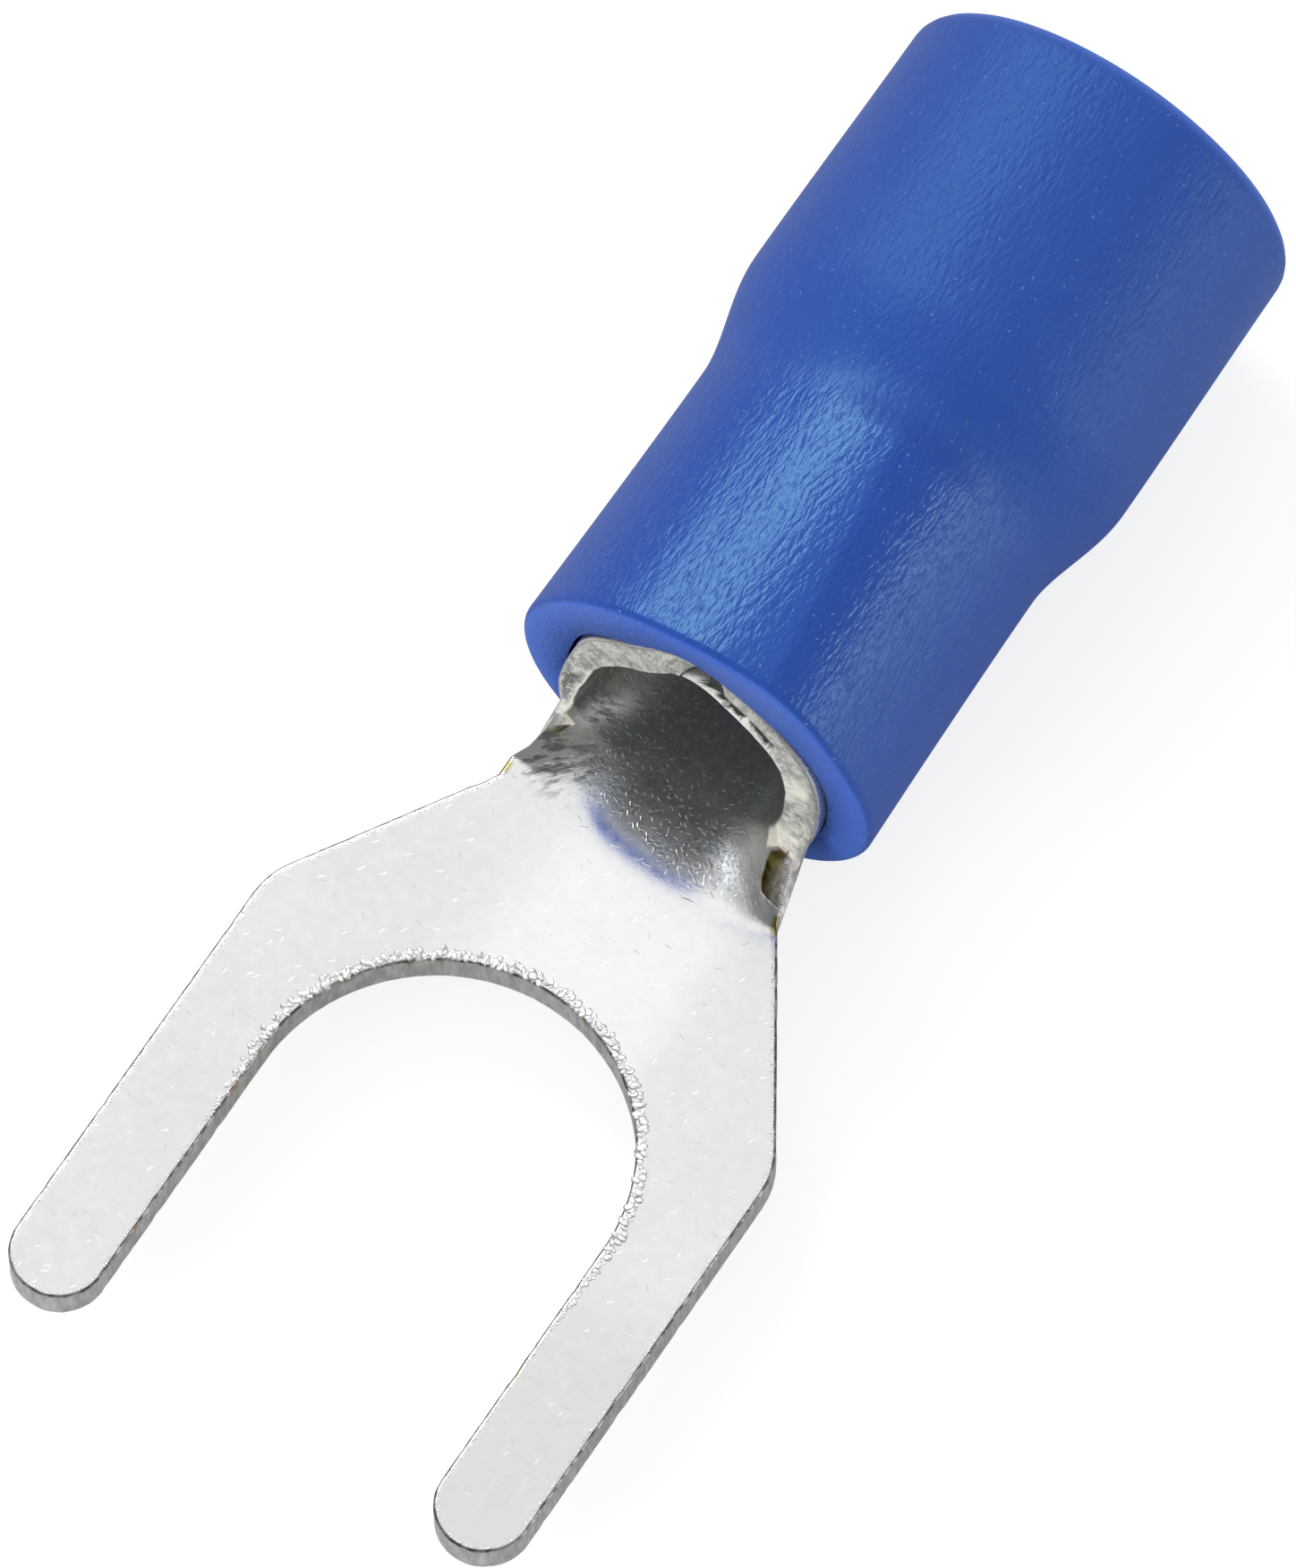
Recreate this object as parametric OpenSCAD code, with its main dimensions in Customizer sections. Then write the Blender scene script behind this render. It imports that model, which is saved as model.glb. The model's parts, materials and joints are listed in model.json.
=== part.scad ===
// Insulated fork terminal for a crimped wire: a rolled sheet terminal inside a stepped vinyl sleeve.
// The stud's centre on the tongue's underside is the origin. The tongue lies flat, the tines point along
// -Y, the wire goes in from +Y, and +Z is the side of the barrel's seam.

/* [Sheet] */
// Thickness of the tinned copper sheet
sheet_t = 0.55; // [0.45:0.05:0.8]

/* [Tongue] */
// Width across both tines
tongue_w = 8; // [7.6:0.1:9]
// Width of the open slot that takes the stud
slot_w = 5.3; // [4.3:0.1:5.6]
// Reach of the tines in front of the stud's centre
tine_reach = 4.55; // [3.5:0.05:6]
// Distance from the stud's centre back to the shoulder corners
shoulder_y = 2.1; // [1.6:0.1:2.6]
// Radius that rounds the shoulder corners
shoulder_r = 1.2; // [0.4:0.1:1.8]
// Distance from the stud's centre back to the neck corners
neck_y = 5.05; // [4.8:0.05:5.4]
// Width of the neck between its corners
neck_w = 4.25; // [3.8:0.05:4.8]

/* [Barrel] */
// Outer diameter of the rolled barrel
barrel_d = 4.1; // [3.8:0.05:4.4]
// Depth of the barrel's bottom below the tongue's underside
barrel_drop = 0.2; // [0:0.02:0.3]
// Rise of the pressed mouth's middle above the barrel's axis
mouth_lift = 0.12; // [0:0.02:0.2]
// Distance from the stud's centre to the foot of the barrel's mouth
mouth_y = 6.07; // [5.9:0.01:6.3]
// Lean of the mouth's cut end, back from the square
mouth_lean = 6; // [0:1:10]
// Distance from the stud's centre to the barrel's wire end
barrel_end_y = 12.3; // [11.6:0.1:13]
// Length over which the pressed mouth turns into a round tube
mouth_blend = 2.1; // [1:0.1:2.6]
// Squareness of the mouth's lower half, where 2 is a circle
mouth_square = 2.6; // [2:0.1:3]
// Depth of the flat pressed into the left half of the mouth's roof
roof_flat_left = 0.2; // [0:0.02:0.25]
// Depth of the flat pressed into the right half of the mouth's roof
roof_flat_right = 0.07; // [0:0.01:0.25]
// Rise of the roof beside the seam
roof_rise = 0.06; // [0:0.01:0.15]
// Width of the seam between the rolled edges
seam_gap = 0.1; // [0.06:0.02:0.3]
// Width of the seam's flare at the outside of the mouth
seam_flare = 0.26; // [0.1:0.02:0.4]
// Turn of the seam away from the top, towards +X
seam_turn = 3.6; // [0:0.2:8]
// Bevel inside the wire end
entry_bevel = 0.2; // [0.1:0.05:0.35]

/* [Neck] */
// Distance from the stud's centre at which the sheet starts to curl up
bend_y = 4.75; // [4.5:0.05:4.9]
// Angle from the barrel's bottom up to the ledges beside the mouth
ledge_angle = 66; // [55:1:75]
// Angle that the relief notch takes off in front of each ledge
notch_angle = 8; // [2:1:12]
// Length of each ledge in front of the mouth
ledge_len = 0.14; // [0.08:0.02:0.3]

/* [Sleeve] */
// Distance from the stud's centre to the sleeve's front face
sleeve_y = 6.35; // [6.3:0.05:7]
// Length of the sleeve
sleeve_len = 10.1; // [9.5:0.05:12]
// Wall of the sleeve over the barrel, where it is thinnest
sleeve_wall = 0.59; // [0.45:0.01:0.8]
// Wall of the sleeve over the wire's insulation
skirt_wall = 0.68; // [0.5:0.01:0.9]
// Bore of the rear skirt, for the wire's insulation
skirt_bore = 4.6; // [4.3:0.1:5.2]
// Extra radius of the sleeve at its front face
front_swell = 0.08; // [0:0.01:0.12]
// Draw-in of the skirt's radius at its rear end
skirt_taper = 0.04; // [0:0.01:0.1]
// Start of the outer step, behind the sleeve's front face
step_start = 4.2; // [3.8:0.1:4.6]
// Length of the outer step
step_len = 1.75; // [1.2:0.05:2.2]
// Round on the sleeve's front edge
front_edge_r = 0.12; // [0.05:0.01:0.2]
// Round on the sleeve's rear edge
rear_edge_r = 0.3; // [0.1:0.02:0.3]
// Gap between the sleeve's bore and the barrel
fit_gap = 0.02; // [0.01:0.01:0.05]

/* [Hidden] */
$fn = 96;
plate_join = 0.005;
tube_join = 0.03;
overlap = 0.4;
barrel_r = barrel_d / 2;
bore_r = barrel_r - sheet_t;
axis_z = barrel_r - barrel_drop;
slot_r = slot_w / 2;
tine_w = (tongue_w - slot_w) / 2;
tip_r = tine_w / 2;
tube_y = mouth_y + mouth_blend;
sleeve_end_y = sleeve_y + sleeve_len;
grip_r = barrel_r + fit_gap;
body_r = grip_r + sleeve_wall;
skirt_r = skirt_bore / 2 + skirt_wall;
step_y = sleeve_y + step_start;
step_end_y = step_y + step_len;
inner_step_len = 0.9;
inner_step_back = 0.25;
inner_step_end_y = step_end_y + inner_step_back;
inner_step_y = inner_step_end_y - inner_step_len;
curl_ease = 1.25;
ledge_drop = 0.03;
neck_steps = 9;
ring_steps = 7;
curl_points = 24;
wing_points = 22;
roof_middle = 146;
roof_half = 34;
ridge_half = 24;

// Smooth ramp from 0 to 1
function ramp(u) = let (c = max(0, min(1, u))) c * c * (3 - 2 * c);

// Straight mix of two values or points
function mix(a, b, u) = a * (1 - u) + b * u;

// Smooth hump of height 1 over the middle, gone at half from it
function hump(x, middle, half) = let (d = abs(x - middle) / half) d < 1 ? pow(cos(90 * d), 2) : 0;

// Points on an arc, from angle a to angle b
function arc(cx, cy, r, a, b, steps) =
    [for (i = [0:steps]) let (q = mix(a, b, i / steps)) [cx + r * cos(q), cy + r * sin(q)]];

// Depth of the pressed roof flat on one side of the seam
function roof_flat(a) = a < 0 ? roof_flat_left : roof_flat_right;

// Outer radius of the barrel at angle a from its bottom, where pressed is 1 at the mouth and 0 in the tube
function shell_r(a, pressed) =
    let (p = cos(a) > 0 ? mix(2, mouth_square, pressed) : 2)
    let (base = barrel_r / pow(pow(abs(sin(a)), p) + pow(abs(cos(a)), p), 1 / p))
    let (flat = roof_flat(a) * hump(abs(a), roof_middle, roof_half))
    let (ridge = roof_rise * hump(abs(a), 180, ridge_half))
    base + pressed * (ridge - flat);

// A point of the rolled sheet, inset below its outer face, on the mouth's leaning plane at its height
function shell_point(a, y, pressed, inset) =
    let (r = shell_r(a, pressed) - inset)
    let (z = axis_z + pressed * mouth_lift - r * cos(a))
    [r * sin(a), y + pressed * tan(mouth_lean) * max(0, z - ledge_z), z];

ledge_z = axis_z + mouth_lift - shell_r(ledge_angle, 1) * cos(ledge_angle);

// Half width of the flat strip at y, along the shoulder's slope and then down the neck
shoulder_slope = (tongue_w - neck_w) / 2 / (neck_y - shoulder_y);
function strip_half(y) = y < neck_y ? neck_w / 2 + (neck_y - y) * shoulder_slope : neck_w / 2;

// Angle of the curled strip's edge at y
function edge_angle(y) = y < mouth_y - ledge_len ? ledge_angle - notch_angle : ledge_angle;

// A point of the neck: u runs from edge to edge, curl from the flat tongue to the rolled barrel
function neck_point(u, y, inset) =
    let (curl = pow(max(0, (y - bend_y) / (mouth_y - bend_y)), curl_ease))
    let (flat = [strip_half(y) * u, y, mix(plate_join, sheet_t - plate_join, inset / sheet_t)])
    let (rolled = shell_point(edge_angle(y) * u, y, 1, inset))
    mix(flat, [rolled[0], y, rolled[2]], curl);

// Stations along the neck, with a close pair that makes the relief notch's drop
neck_stations = concat(
    [for (i = [0:neck_steps]) mix(bend_y - overlap, mouth_y - ledge_len - ledge_drop, i / neck_steps)],
    [mouth_y - ledge_len]
);

// Stations along the pressed mouth, from 0 at its face to 1 at the tube, and one inside the tube
ring_stations = concat([for (i = [0:ring_steps]) i / ring_steps], [1 + overlap / mouth_blend]);

// Angles round the sheet: left wing, curled strip, right wing
function half_gap_angle(gap, r) = asin(gap / 2 / r);
function wing(side, gap, r) =
    let (edge = side * ledge_angle, top = side * (180 - half_gap_angle(gap, r)) - seam_turn)
    [for (i = [1:wing_points]) mix(edge, top, i / wing_points)];
strip_u = [for (i = [0:curl_points]) 2 * i / curl_points - 1];
function reversed(list) = [for (i = [len(list) - 1:-1:0]) list[i]];
function ring_angles(gap, r) = concat(
    reversed(wing(-1, gap, r)),
    [for (u = strip_u) u * ledge_angle],
    wing(1, gap, r)
);

// One closed section of the neck, and one of the rolled barrel
function neck_section(y) = concat(
    [for (u = strip_u) neck_point(u, y, 0)],
    [for (u = strip_u) neck_point(u, y, sheet_t)]
);
function ring_section(s) =
    let (pressed = 1 - ramp(s), y = mouth_y + mouth_blend * s)
    let (skin = tube_join * (1 - pressed), gap = seam_gap + tube_join)
    concat(
        [for (a = ring_angles(mix(gap, seam_flare, pressed), barrel_r)) shell_point(a, y, pressed, skin)],
        [for (a = ring_angles(gap, bore_r)) shell_point(a, y, pressed, sheet_t - skin)]
    );

// Two triangles for the four corners of a patch
function patch(a, b, c, d) = [[a, b, c], [a, c, d]];
function flat_list(list) = [for (part = list) each part];

// Faces of a wall between two sections that start at points p and q, each with n outer and n inner points
function wall_faces(p, q, n, total_p, total_q) = flat_list(concat(
    [for (i = [0:n - 2]) patch(p + i, p + i + 1, q + i + 1, q + i)],
    [for (i = [0:n - 2]) patch(p + total_p + i, q + total_q + i, q + total_q + i + 1, p + total_p + i + 1)],
    [patch(p, q, q + total_q, p + total_p)],
    [patch(p + n - 1, p + total_p + n - 1, q + total_q + n - 1, q + n - 1)]
));

// Faces of the sheet's cut end from point i to point j of a section
function end_faces(p, total, i, j, front) = flat_list(
    [for (k = [i:j - 1])
        front ? patch(p + k, p + total + k, p + total + k + 1, p + k + 1)
              : patch(p + k, p + k + 1, p + total + k + 1, p + total + k)]
);

// The neck and the pressed mouth as one closed body of sheet
module rolled_sheet() {
    n = len(strip_u);
    m = n + 2 * wing_points;
    rings = 2 * n * len(neck_stations);
    last = rings - 2 * n;
    points = concat(
        flat_list([for (y = neck_stations) neck_section(y)]),
        flat_list([for (s = ring_stations) ring_section(s)])
    );
    necks = len(neck_stations) - 1;
    neck_faces = [for (j = [0:necks - 1]) let (p = 2 * n * j) each wall_faces(p, p + 2 * n, n, n, n)];
    spans = len(ring_stations) - 1;
    ring_faces = [for (j = [0:spans - 1]) let (p = rings + 2 * m * j) each wall_faces(p, p + 2 * m, m, m, m)];
    polyhedron(
        points = points,
        faces = concat(
            end_faces(0, n, 0, n - 1, true),
            neck_faces,
            wall_faces(last, rings + wing_points, n, n, m),
            end_faces(rings, m, 0, wing_points, true),
            end_faces(rings, m, wing_points + n - 1, m - 1, true),
            ring_faces,
            end_faces(rings + 2 * m * spans, m, 0, m - 1, false)
        )
    );
}

// Outline of the tongue: round tips, straight tines, rounded shoulders and the slope to the neck
module tongue_outline() {
    half = tongue_w / 2;
    turn = atan(shoulder_slope);
    round_y = shoulder_y - shoulder_r * tan(turn / 2);
    tip_y = tip_r - tine_reach;
    tip_x = half - tip_r;
    right = concat(
        arc(tip_x, tip_y, tip_r, -180, 0, 24),
        arc(half - shoulder_r, round_y, shoulder_r, 0, turn, 8),
        [[strip_half(bend_y), bend_y]]
    );
    polygon(concat(right, [for (p = reversed(right)) [-p[0], p[1]]]));
}

module stud_slot() {
    translate([0, 0, -sheet_t]) cylinder(r = slot_r, h = 3 * sheet_t);
    translate([-slot_r, -2 * tine_reach, -sheet_t]) cube([slot_w, 2 * tine_reach, 3 * sheet_t]);
}

// Places a body of revolution, made along Z, on the barrel's axis at y
module on_axis(y) {
    translate([0, y, axis_z]) rotate([-90, 0, 0]) children();
}

module round_tube() {
    length = barrel_end_y - tube_y;
    difference() {
        on_axis(tube_y) cylinder(r = barrel_r, h = length);
        on_axis(tube_y - 1) cylinder(r = bore_r, h = length + 2);
        on_axis(barrel_end_y - entry_bevel)
            cylinder(r1 = bore_r, r2 = bore_r + 2 * entry_bevel, h = 2 * entry_bevel);
        translate([0, tube_y - 1, axis_z]) rotate([0, seam_turn, 0])
            translate([-seam_gap / 2, 0, 0]) cube([seam_gap, length + 2, 2 * barrel_r]);
    }
}

module fork_terminal() {
    color("gainsboro") union() {
        difference() {
            linear_extrude(sheet_t) tongue_outline();
            stud_slot();
        }
        rolled_sheet();
        round_tube();
    }
}

// Outer radius of the sleeve at y
function sleeve_r(y) =
    y < step_y ? body_r + front_swell * pow(1 - (y - sleeve_y) / step_start, 1.5)
    : y < step_end_y ? mix(body_r, skirt_r, ramp((y - step_y) / step_len))
    : skirt_r - skirt_taper * ramp((y - step_end_y) / (sleeve_end_y - step_end_y));

// Profile of the sleeve's outside as radius and distance along the axis
module sleeve_profile() {
    front_r = sleeve_r(sleeve_y);
    rear_r = sleeve_r(sleeve_end_y);
    stations = [for (i = [0:24]) mix(sleeve_y + front_edge_r, sleeve_end_y - rear_edge_r, i / 24)];
    polygon(concat(
        [[0, sleeve_y]],
        arc(front_r - front_edge_r, sleeve_y + front_edge_r, front_edge_r, -90, 0, 5),
        [for (y = stations) if (y > stations[0] && y < stations[24]) [sleeve_r(y), y]],
        arc(rear_r - rear_edge_r, sleeve_end_y - rear_edge_r, rear_edge_r, 0, 90, 8),
        [[0, sleeve_end_y]]
    ));
}

// Bore of the sleeve behind its pressed front: barrel grip, inner step and skirt
module sleeve_bore() {
    skirt_bore_r = skirt_bore / 2;
    lip = skirt_wall / 4;
    lead = 2 * fit_gap;
    steps = 8;
    polygon(concat(
        [[0, tube_y - lead], [grip_r, tube_y - lead]],
        [for (i = [0:steps]) [
            mix(grip_r, skirt_bore_r, ramp(i / steps)),
            mix(inner_step_y, inner_step_end_y, i / steps)
        ]],
        [[skirt_bore_r, sleeve_end_y - lip], [skirt_bore_r + 2 * lip, sleeve_end_y + lip]],
        [[0, sleeve_end_y + lip]]
    ));
}

// The barrel's pressed outside, grown by the fit gap, which the soft front of the sleeve follows
module pressed_core() {
    angles = [for (i = [0:71]) 5 * i - 180];
    stations = concat([-1 / ring_steps], ring_stations);
    n = len(angles);
    m = len(stations);
    points = [for (s = stations) let (pressed = 1 - ramp(s), skin = tube_join * (1 - pressed) - fit_gap)
        for (a = angles) shell_point(a, mouth_y + mouth_blend * s, pressed, skin)];
    sides = [for (j = [0:m - 2], i = [0:n - 1]) let (k = (i + 1) % n)
        each patch(n * j + i, n * j + k, n * (j + 1) + k, n * (j + 1) + i)];
    front = [for (i = [1:n - 2]) [0, i + 1, i]];
    back = [for (i = [1:n - 2]) [n * (m - 1), n * (m - 1) + i, n * (m - 1) + i + 1]];
    polyhedron(points = points, faces = concat(sides, front, back));
}

module insulating_sleeve() {
    color("royalblue") difference() {
        on_axis(0) rotate_extrude() sleeve_profile();
        on_axis(0) rotate_extrude() sleeve_bore();
        pressed_core();
    }
}

fork_terminal();
insulating_sleeve();
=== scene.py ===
import json
import math

import bpy
import numpy as np
from mathutils import Matrix, Vector, geometry, noise


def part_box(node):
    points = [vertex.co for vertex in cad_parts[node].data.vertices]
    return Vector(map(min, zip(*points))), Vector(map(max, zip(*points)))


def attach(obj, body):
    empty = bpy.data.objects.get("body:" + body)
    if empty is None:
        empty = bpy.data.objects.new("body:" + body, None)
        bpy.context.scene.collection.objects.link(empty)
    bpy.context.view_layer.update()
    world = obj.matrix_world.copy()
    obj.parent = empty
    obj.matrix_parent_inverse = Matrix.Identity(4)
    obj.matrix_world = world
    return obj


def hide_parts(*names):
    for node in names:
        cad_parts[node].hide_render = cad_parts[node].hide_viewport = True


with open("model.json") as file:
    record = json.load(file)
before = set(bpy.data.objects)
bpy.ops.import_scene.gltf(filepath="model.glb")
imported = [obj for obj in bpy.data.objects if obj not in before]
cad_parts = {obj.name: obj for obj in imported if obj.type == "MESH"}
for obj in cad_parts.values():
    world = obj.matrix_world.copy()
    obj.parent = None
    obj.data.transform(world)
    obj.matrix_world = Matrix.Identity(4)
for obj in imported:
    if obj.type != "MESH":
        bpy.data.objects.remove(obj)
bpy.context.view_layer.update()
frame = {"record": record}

# The camera looks down on the terminal from the side of its right tine, through a long lens, so that its
# edges stay nearly parallel.
MM = 0.001
camera_place = Vector((70.602, -96.661, 286.780)) * MM
camera_aim = Vector((-0.3349, 5.7093, 1.0)) * MM
camera_roll = math.radians(-1.942)
camera_lens = 542.86
sensor_height = 36.0

scene = bpy.context.scene
camera_data = bpy.data.cameras.new("camera")
camera_data.sensor_fit = "VERTICAL"
camera_data.sensor_height = sensor_height
camera_data.lens = camera_lens
camera = bpy.data.objects.new("camera", camera_data)
scene.collection.objects.link(camera)
camera_turn = (camera_aim - camera_place).to_track_quat("-Z", "Y").to_matrix().to_4x4()
camera.matrix_world = Matrix.Translation(camera_place) @ camera_turn @ Matrix.Rotation(camera_roll, 4, "Z")
scene.camera = camera
scene.view_settings.view_transform = "Standard"

# The table is a plain pale surface under the sleeve's lowest line, in a plain room. The camera sees both as
# white. What metal reflects of the room is bright overhead and grey lower down.
floor_half = 1.5
floor_colour = (0.9, 0.9, 0.9, 1)
floor_mirrored = (0.52, 0.52, 0.52, 1)
floor_glow = 0.72
floor_shown = 1 - floor_glow
glow_extra = 0.06
white = (1, 1, 1, 1)
room_level = 0.78
room_overhead = Vector((-0.27, 0.52, 0.81)).normalized()
room_bright = 1.0
room_grey = 0.25
bright_inner = math.cos(math.radians(22))
bright_outer = math.cos(math.radians(48))


def mesh_object(name, points, faces, smooth=True):
    mesh = bpy.data.meshes.new(name)
    mesh.from_pydata([tuple(p) for p in points], [], [tuple(f) for f in faces])
    mesh.polygons.foreach_set("use_smooth", [smooth] * len(mesh.polygons))
    mesh.update()
    made = bpy.data.objects.new(name, mesh)
    scene.collection.objects.link(made)
    return made


def node_tree(tree):
    """Clears a node tree and returns a function that adds a node with its settings and inputs."""
    tree.nodes.clear()

    def add(kind, inputs=None, **settings):
        made = tree.nodes.new(kind)
        for key, value in settings.items():
            setattr(made, key, value)
        for key, value in (inputs or {}).items():
            if isinstance(value, bpy.types.NodeSocket):
                tree.links.new(value, made.inputs[key])
            else:
                made.inputs[key].default_value = value
        return made

    return add


def new_material(name):
    """A new material, and the function that adds nodes to it."""
    made = bpy.data.materials.new(name)
    made.use_nodes = True
    return made, node_tree(made.node_tree)


def maths(add, operation, first, second=0.0):
    """Adds a Math node and returns its result."""
    return add("ShaderNodeMath", {0: first, 1: second}, operation=operation).outputs[0]


def blend(add, share, first, second):
    """Mixes a share of the second colour into the first."""
    return add("ShaderNodeMix", {0: share, 6: first, 7: second}, data_type="RGBA").outputs[2]


def remap(add, value, low, high, to_low=0.0, to_high=1.0, kind="LINEAR"):
    """Takes the range from low to high to another range, and stops at its ends."""
    ends = {"Value": value, "From Min": low, "From Max": high, "To Min": to_low, "To Max": to_high}
    return add("ShaderNodeMapRange", ends, interpolation_type=kind).outputs[0]


vinyl_low, vinyl_high = (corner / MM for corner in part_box("insulating_sleeve"))
floor_z = vinyl_low.z * MM
floor = mesh_object(
    "floor",
    [(x * floor_half, y * floor_half, floor_z) for x, y in ((-1, -1), (1, -1), (1, 1), (-1, 1))],
    [(0, 1, 2, 3)],
    smooth=False,
)
table_top, add = new_material("pale_table")
path = add("ShaderNodeLightPath").outputs
seen = blend(add, path["Is Glossy Ray"], floor_colour, floor_mirrored)
matt = add("ShaderNodeBsdfDiffuse", {"Color": seen}).outputs[0]
faint = add("ShaderNodeBsdfDiffuse", {"Color": (floor_shown, floor_shown, floor_shown, 1)}).outputs[0]
glow = add("ShaderNodeEmission", {"Color": white, "Strength": floor_glow + glow_extra}).outputs[0]
lit = add("ShaderNodeAddShader", {0: faint, 1: glow}).outputs[0]
surface = add("ShaderNodeMixShader", {0: path["Is Camera Ray"], 1: matt, 2: lit})
add("ShaderNodeOutputMaterial", {"Surface": surface.outputs[0]})
floor.data.materials.append(table_top)

world = bpy.data.worlds.new("room")
scene.world = world
world.use_nodes = True
add = node_tree(world.node_tree)
path = add("ShaderNodeLightPath").outputs
direction = add("ShaderNodeTexCoord").outputs["Generated"]
upward = {0: direction, 1: room_overhead}
upward = add("ShaderNodeVectorMath", upward, operation="DOT_PRODUCT").outputs["Value"]
mirrored = remap(add, upward, bright_outer, bright_inner, room_grey, room_bright, "SMOOTHSTEP")
level = add("ShaderNodeMix", {"Factor": path["Is Glossy Ray"], "A": room_level, "B": mirrored}).outputs[0]
clear = maths(add, "MAXIMUM", path["Is Camera Ray"], path["Is Transmission Ray"])
level = add("ShaderNodeMix", {"Factor": clear, "A": level, "B": 1.0}).outputs[0]
sky = add("ShaderNodeBackground", {"Color": white, "Strength": level})
add("ShaderNodeOutputWorld", {"Surface": sky.outputs[0]})

# Three soft lamps stand round the object: the main one at the left behind it, a weaker one at the left in
# front of it that leaves no highlight, and a small low one at the right.
lamp_aim = Vector((0, 6, 1)) * MM
lamp_distance = 0.25
key_direction = Vector((-0.59, 0.36, 0.72)).normalized()
key_size = 0.10
key_level = 6.8
fill_direction = Vector((-0.30, -0.82, 0.45)).normalized()
fill_size = 0.14
fill_level = 4.0
side_direction = Vector((0.94, 0.33, 0.04)).normalized()
side_size = 0.045
side_level = 26.0
side_colour = (1.0, 0.80, 0.87)


def softbox(name, direction, size, level):
    """A square lamp whose face has the brightness level, aimed at the object from a direction."""
    lamp = bpy.data.lights.new(name, "AREA")
    lamp.size = size
    lamp.energy = level * math.pi * size * size
    made = bpy.data.objects.new(name, lamp)
    made.visible_camera = False
    stand = Matrix.Translation(lamp_aim + direction * lamp_distance)
    made.matrix_world = stand @ direction.to_track_quat("Z", "Y").to_matrix().to_4x4()
    scene.collection.objects.link(made)
    return made


softbox("key_lamp", key_direction, key_size, key_level)
fill_lamp = softbox("fill_lamp", fill_direction, fill_size, fill_level)
fill_lamp.visible_glossy = False
side_lamp = softbox("side_lamp", side_direction, side_size, side_level)
side_lamp.data.color = side_colour

# The terminal is one blank of copper alloy sheet, tin plated and stamped: a flat fork in front, and behind
# it a barrel rolled up with its seam on top. The press leaves sheared edges, a relief notch on each side of
# the neck, and a mouth with a flattened roof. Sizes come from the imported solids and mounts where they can.
metal_low, metal_high = (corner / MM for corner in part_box("fork_terminal"))
mounts = {mount["name"]: mount for mount in frame["record"]["mounts"]}
slot_r = mounts["stud_slot"]["dims"]["r_mm"]
bore_r = mounts["wire_barrel"]["dims"]["r_mm"]
axis_z = mounts["wire_barrel"]["pos_m"][2] / MM
barrel_r = axis_z - metal_low.z
sheet_t = barrel_r - bore_r
half_w = metal_high.x
tine_reach = -metal_low.y
barrel_end_y = metal_high.y
tip_r = (half_w - slot_r) / 2
tip_y = tip_r - tine_reach
edge_r = 0.045
tolerance = 0.001
shoulder_y = 2.1
shoulder_r = 1.2
neck_y = 5.05
neck_half = 2.125

# The bend starts earlier in the middle of the sheet than at its sides, so that it forms a dish.
bend_y = 4.75
curl_ease_middle = 1.8
curl_ease_side = 1.15
dish_x = 0.1
dish_half = 2.1
dish_power = 1.5
dish_early = 0.2
dish_late_left = 0.5
dish_late_right = 0.3

# The mouth leans, and its roof is pressed flat on both sides of the seam. Angles count from the bottom.
mouth_y = 6.07
mouth_lean = math.tan(math.radians(6))
mouth_lift = 0.12
mouth_blend = 2.1
mouth_square = 2.6
roof_flat_left = 0.2
roof_flat_right = 0.07
roof_rise = 0.06
roof_middle = 146
roof_half = 34
ridge_half = 24
corner_flat = 0.13
corner_middle = 104
corner_half = 34
wall_kept_at = (-122, -104, -86, -74, -66, -56, -40, -28)
wall_kept = (1.0, 0.72, 0.70, 0.58, 0.40, 0.45, 0.8, 1.0)
groove_angle = 112
groove_depth = 0.15
groove_low = 0.33
groove_high = 0.50
groove_reach = 0.06
ledge_angle = 66
ledge_len = 0.14
notch_angle = 8
seam_turn = 3.6
seam_gap = 0.1
seam_open_angle = 150
seam_slant_left = 10
seam_slant_right = 5
seam_shift = 1
seam_lip = 17
seam_lip_depth = 0.85
degrees_per_mm = ledge_angle / neck_half


def ramp(u):
    u = np.clip(u, 0, 1)
    return u * u * (3 - 2 * u)


def rise(x, start, width):
    """Goes from 0 at the start to 1 beyond the width."""
    return ramp((x - start) / width)


def fall(x, end, width):
    """Goes from 1 before the width to 0 at the end."""
    return ramp((end - x) / width)


def hump(x, middle, half):
    return np.cos(np.clip(np.abs(x - middle) / half, 0, 1) * math.pi / 2) ** 2


def shell_r(angle, pressed, corner=corner_flat):
    """Outer radius of the barrel at an angle. Pressed is 1 at the mouth and 0 behind it."""
    a = np.radians(angle)
    power = np.where(np.cos(a) > 0, 2 + (mouth_square - 2) * pressed, 2.0)
    base = barrel_r / (np.abs(np.sin(a)) ** power + np.abs(np.cos(a)) ** power) ** (1 / power)
    roof = np.where(angle < 0, roof_flat_left, roof_flat_right) * hump(np.abs(angle), roof_middle, roof_half)
    side = corner * hump(angle, -corner_middle, corner_half)
    return base + pressed * (roof_rise * hump(np.abs(angle), 180, ridge_half) - roof - side)


ledge_z = axis_z + mouth_lift - float(shell_r(ledge_angle, 1)) * math.cos(math.radians(ledge_angle))


def shell_point(angle, y, pressed, inset):
    """A point of the rolled sheet, inset below its outer face. Low on the left its wall is pressed thin."""
    thinned = 1 - np.interp(angle, wall_kept_at, wall_kept)
    r = shell_r(angle, pressed) - inset * (1 - thinned * pressed)
    a = np.radians(angle)
    z = axis_z + pressed * mouth_lift - r * np.cos(a)
    lean = np.where(y < mouth_y - tolerance, 0, pressed * mouth_lean * np.maximum(0, z - ledge_z))
    return np.stack([r * np.sin(a), y + lean, z], -1)


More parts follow.
